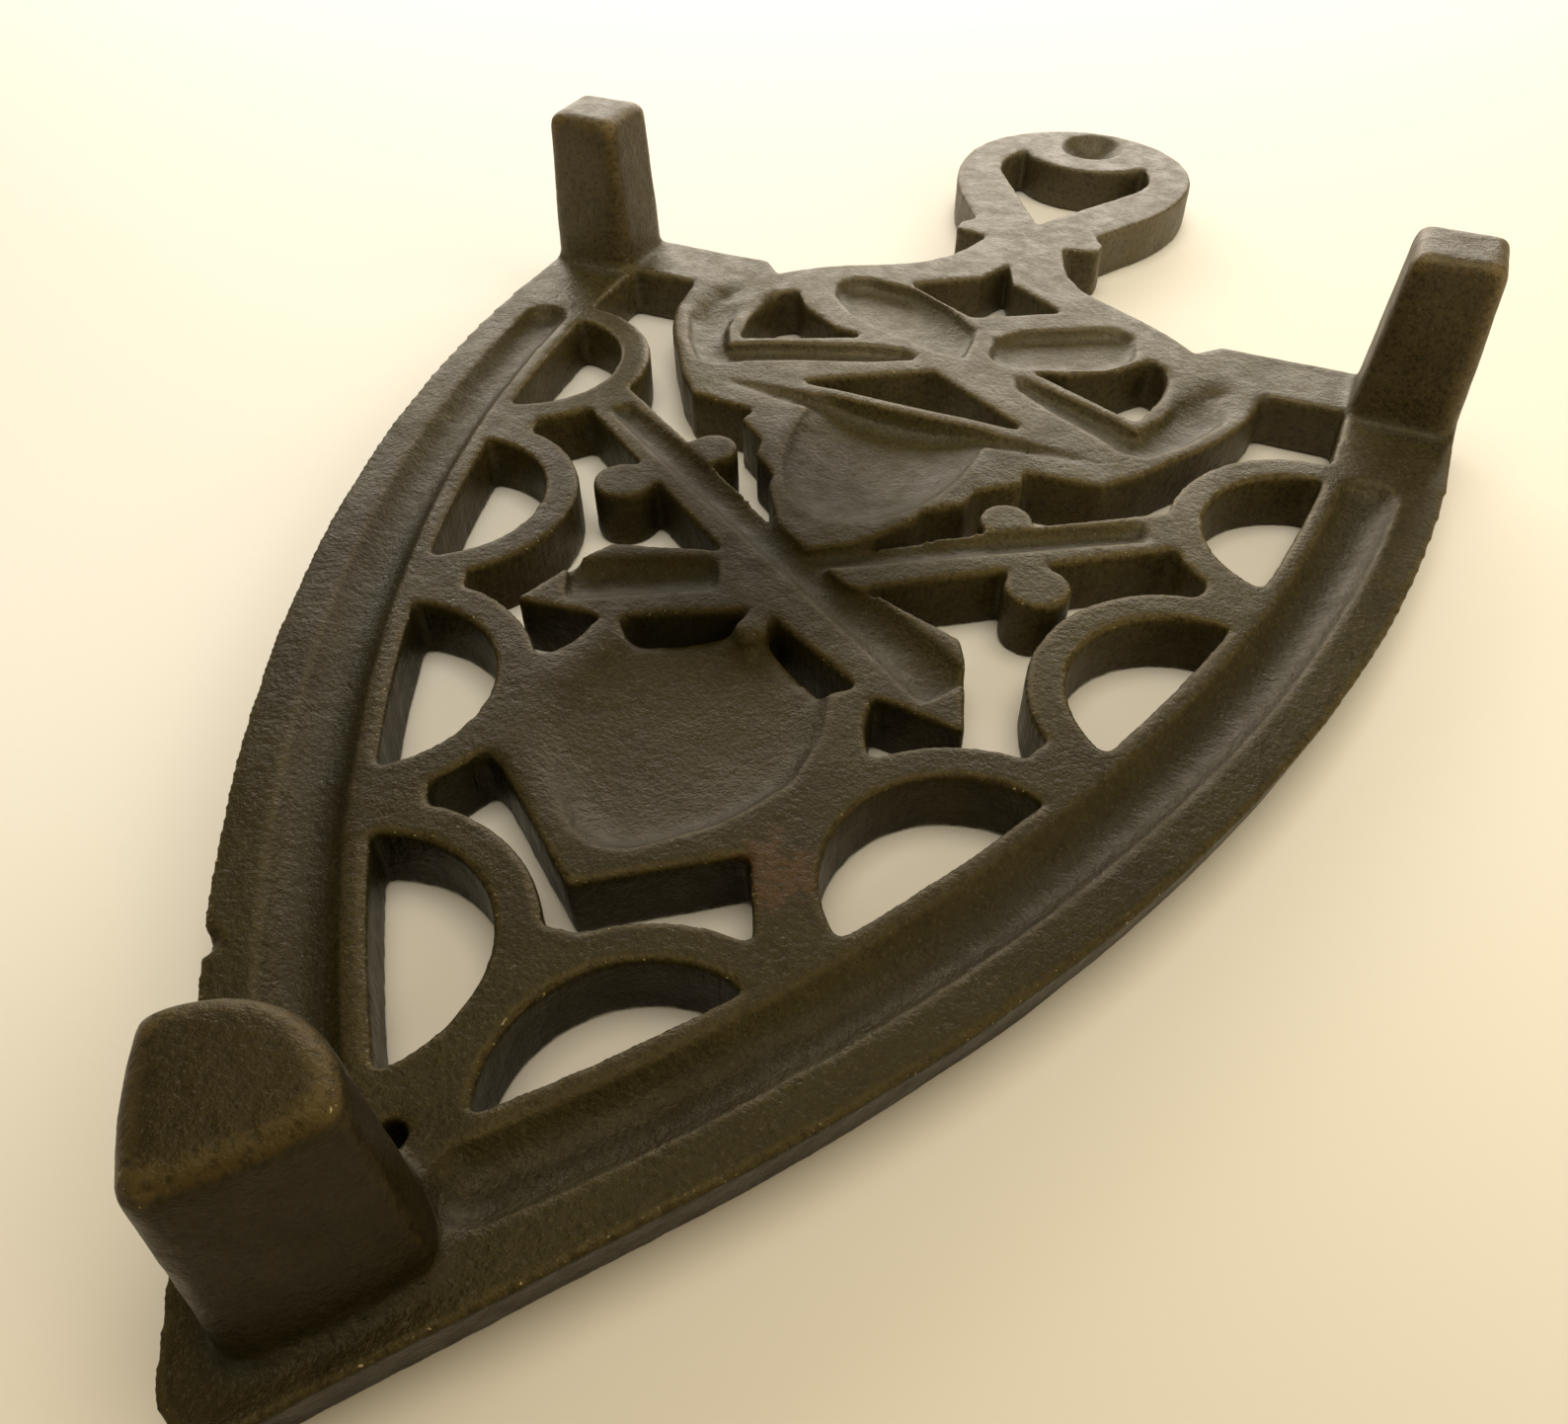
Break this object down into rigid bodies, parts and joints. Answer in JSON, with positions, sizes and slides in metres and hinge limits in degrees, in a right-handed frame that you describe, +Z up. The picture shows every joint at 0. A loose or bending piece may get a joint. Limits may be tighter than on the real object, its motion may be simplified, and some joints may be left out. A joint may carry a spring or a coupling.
{
  "type": "sad iron stand",
  "caption": "Cast-iron openwork stand for a sad iron: an iron-shaped plate with grooved rails, crossed cannons, a shield, a loop handle and three short feet, stored feet up.",
  "frame": {"origin": "middle of the object's bounding box in plan, on the flat iron-carrying face that it rests on", "axes": "+Z points up from the resting face to the tips of the three feet, +Y from the toe to the loop handle, and +X across; in use the stand is turned over, half a turn about Y"},
  "size_m": [0.1168, 0.2101, 0.0255],
  "materials": {
    "plate_iron": "sand-cast, blackened and waxed by use, with a faint blue-grey sheen in the hollows",
    "foot_iron": "sand-cast, rubbed brown on the tips"
  },
  "bodies": {
    "root": {"cannon_left": "plate_iron", "cannon_right_barrel": "plate_iron", "cannon_right_breech": "plate_iron", "crest_arm_left": "plate_iron", "crest_arm_right": "plate_iron", "crest_bar_lower": "plate_iron", "crest_bar_through": "plate_iron", "crest_bar_upper": "plate_iron", "crest_shoulders": "plate_iron", "handle_collar": "plate_iron", "handle_loop": "plate_iron", "handle_neck": "plate_iron", "leaf": "plate_iron", "rail_left": "plate_iron", "rail_right": "plate_iron", "rear_bar_left": "plate_iron", "rear_bar_right": "plate_iron", "rear_foot_left": "foot_iron", "rear_foot_right": "foot_iron", "scallop_left_1": "plate_iron", "scallop_left_2": "plate_iron", "scallop_left_3": "plate_iron", "scallop_left_4": "plate_iron", "scallop_right_1": "plate_iron", "scallop_right_2": "plate_iron", "scallop_right_3": "plate_iron", "scallop_right_4": "plate_iron", "shield": "plate_iron", "toe_foot": "foot_iron"}
  },
  "joints": []
}
